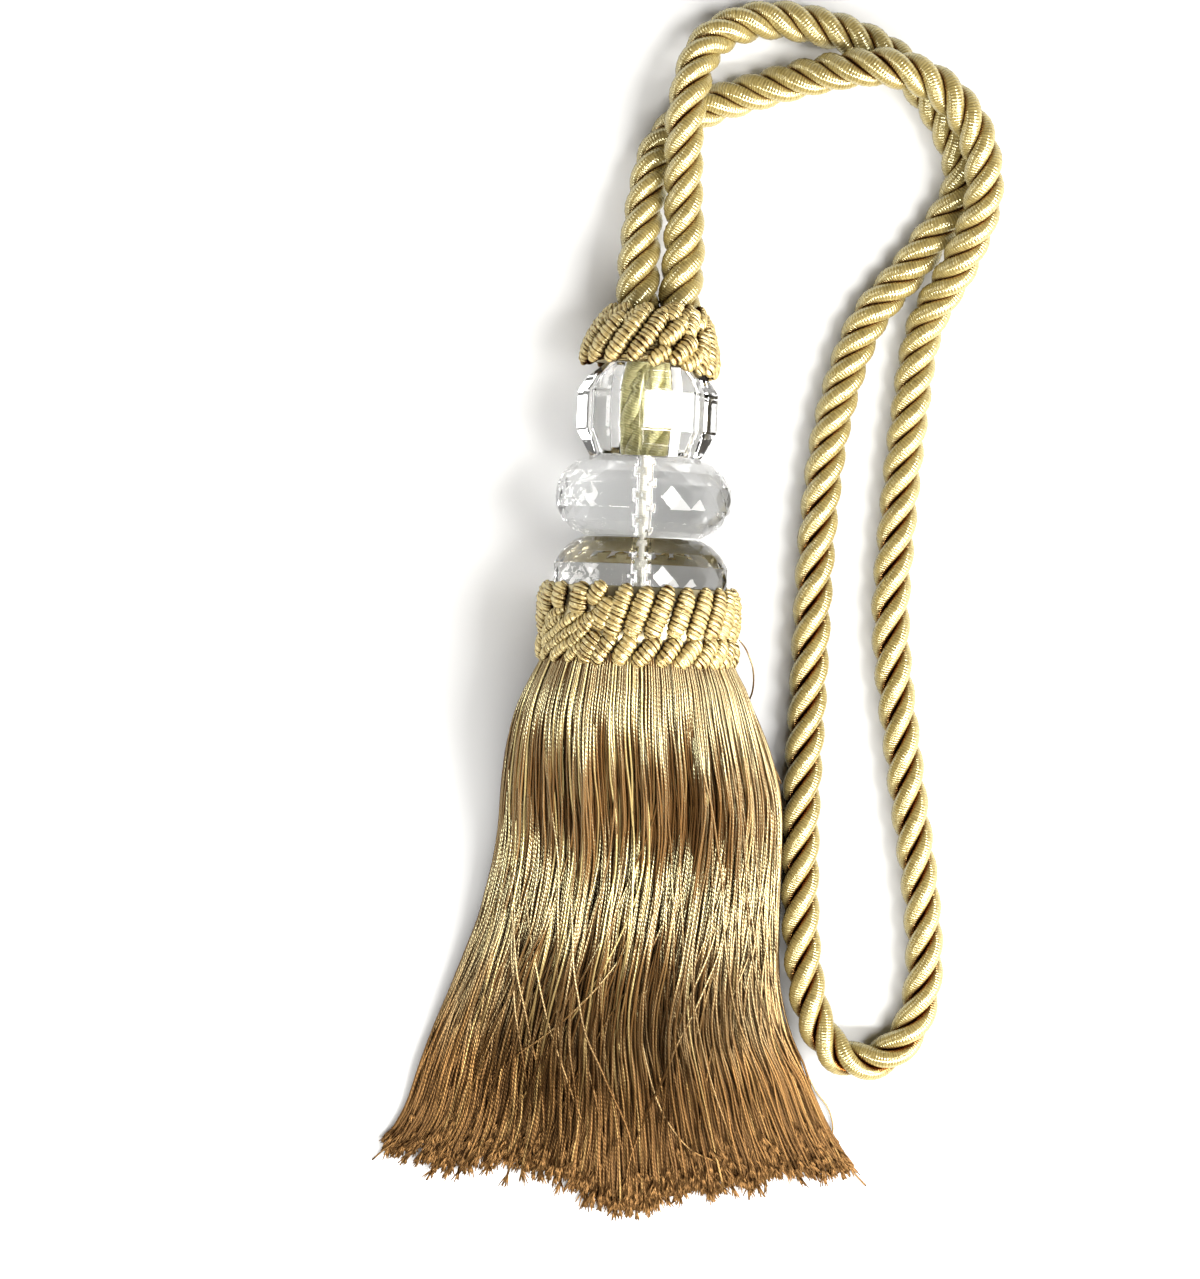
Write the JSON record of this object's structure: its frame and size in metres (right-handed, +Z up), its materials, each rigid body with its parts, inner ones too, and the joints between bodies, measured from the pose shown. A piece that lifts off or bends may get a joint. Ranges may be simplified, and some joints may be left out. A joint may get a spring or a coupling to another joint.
{
  "type": "curtain tieback tassel",
  "caption": "Gold curtain tieback: fringed tassel under a gimp collar, clear faceted beads, a gimp cap and a twisted rope loop, lying on a table.",
  "frame": {"origin": "on the table, under the middle of the tassel's box without its rope", "axes": "+Y along the tassel from the skirt to the neck, +X to the side on which the rope lies, +Z up from the table"},
  "size_m": [0.1349, 0.287, 0.0479],
  "materials": {
    "gold_thread": "shiny two-ply rayon threads with matt brown cut ends",
    "gold_gimp": "cord wrapped crosswise with shiny thread",
    "gold_rope": "three satin-wrapped strands, laid to the right",
    "core_satin": "satin strands seen through the beads",
    "clear_acrylic": "clear moulded acrylic with polished facets"
  },
  "bodies": {
    "root": {"skirt": "gold_thread", "lower_collar": "gold_gimp", "bead_lower": "clear_acrylic", "bead_middle": "clear_acrylic", "bead_upper": "clear_acrylic", "core_cord": "core_satin", "upper_collar": "gold_gimp", "rope": "gold_rope"}
  },
  "joints": []
}
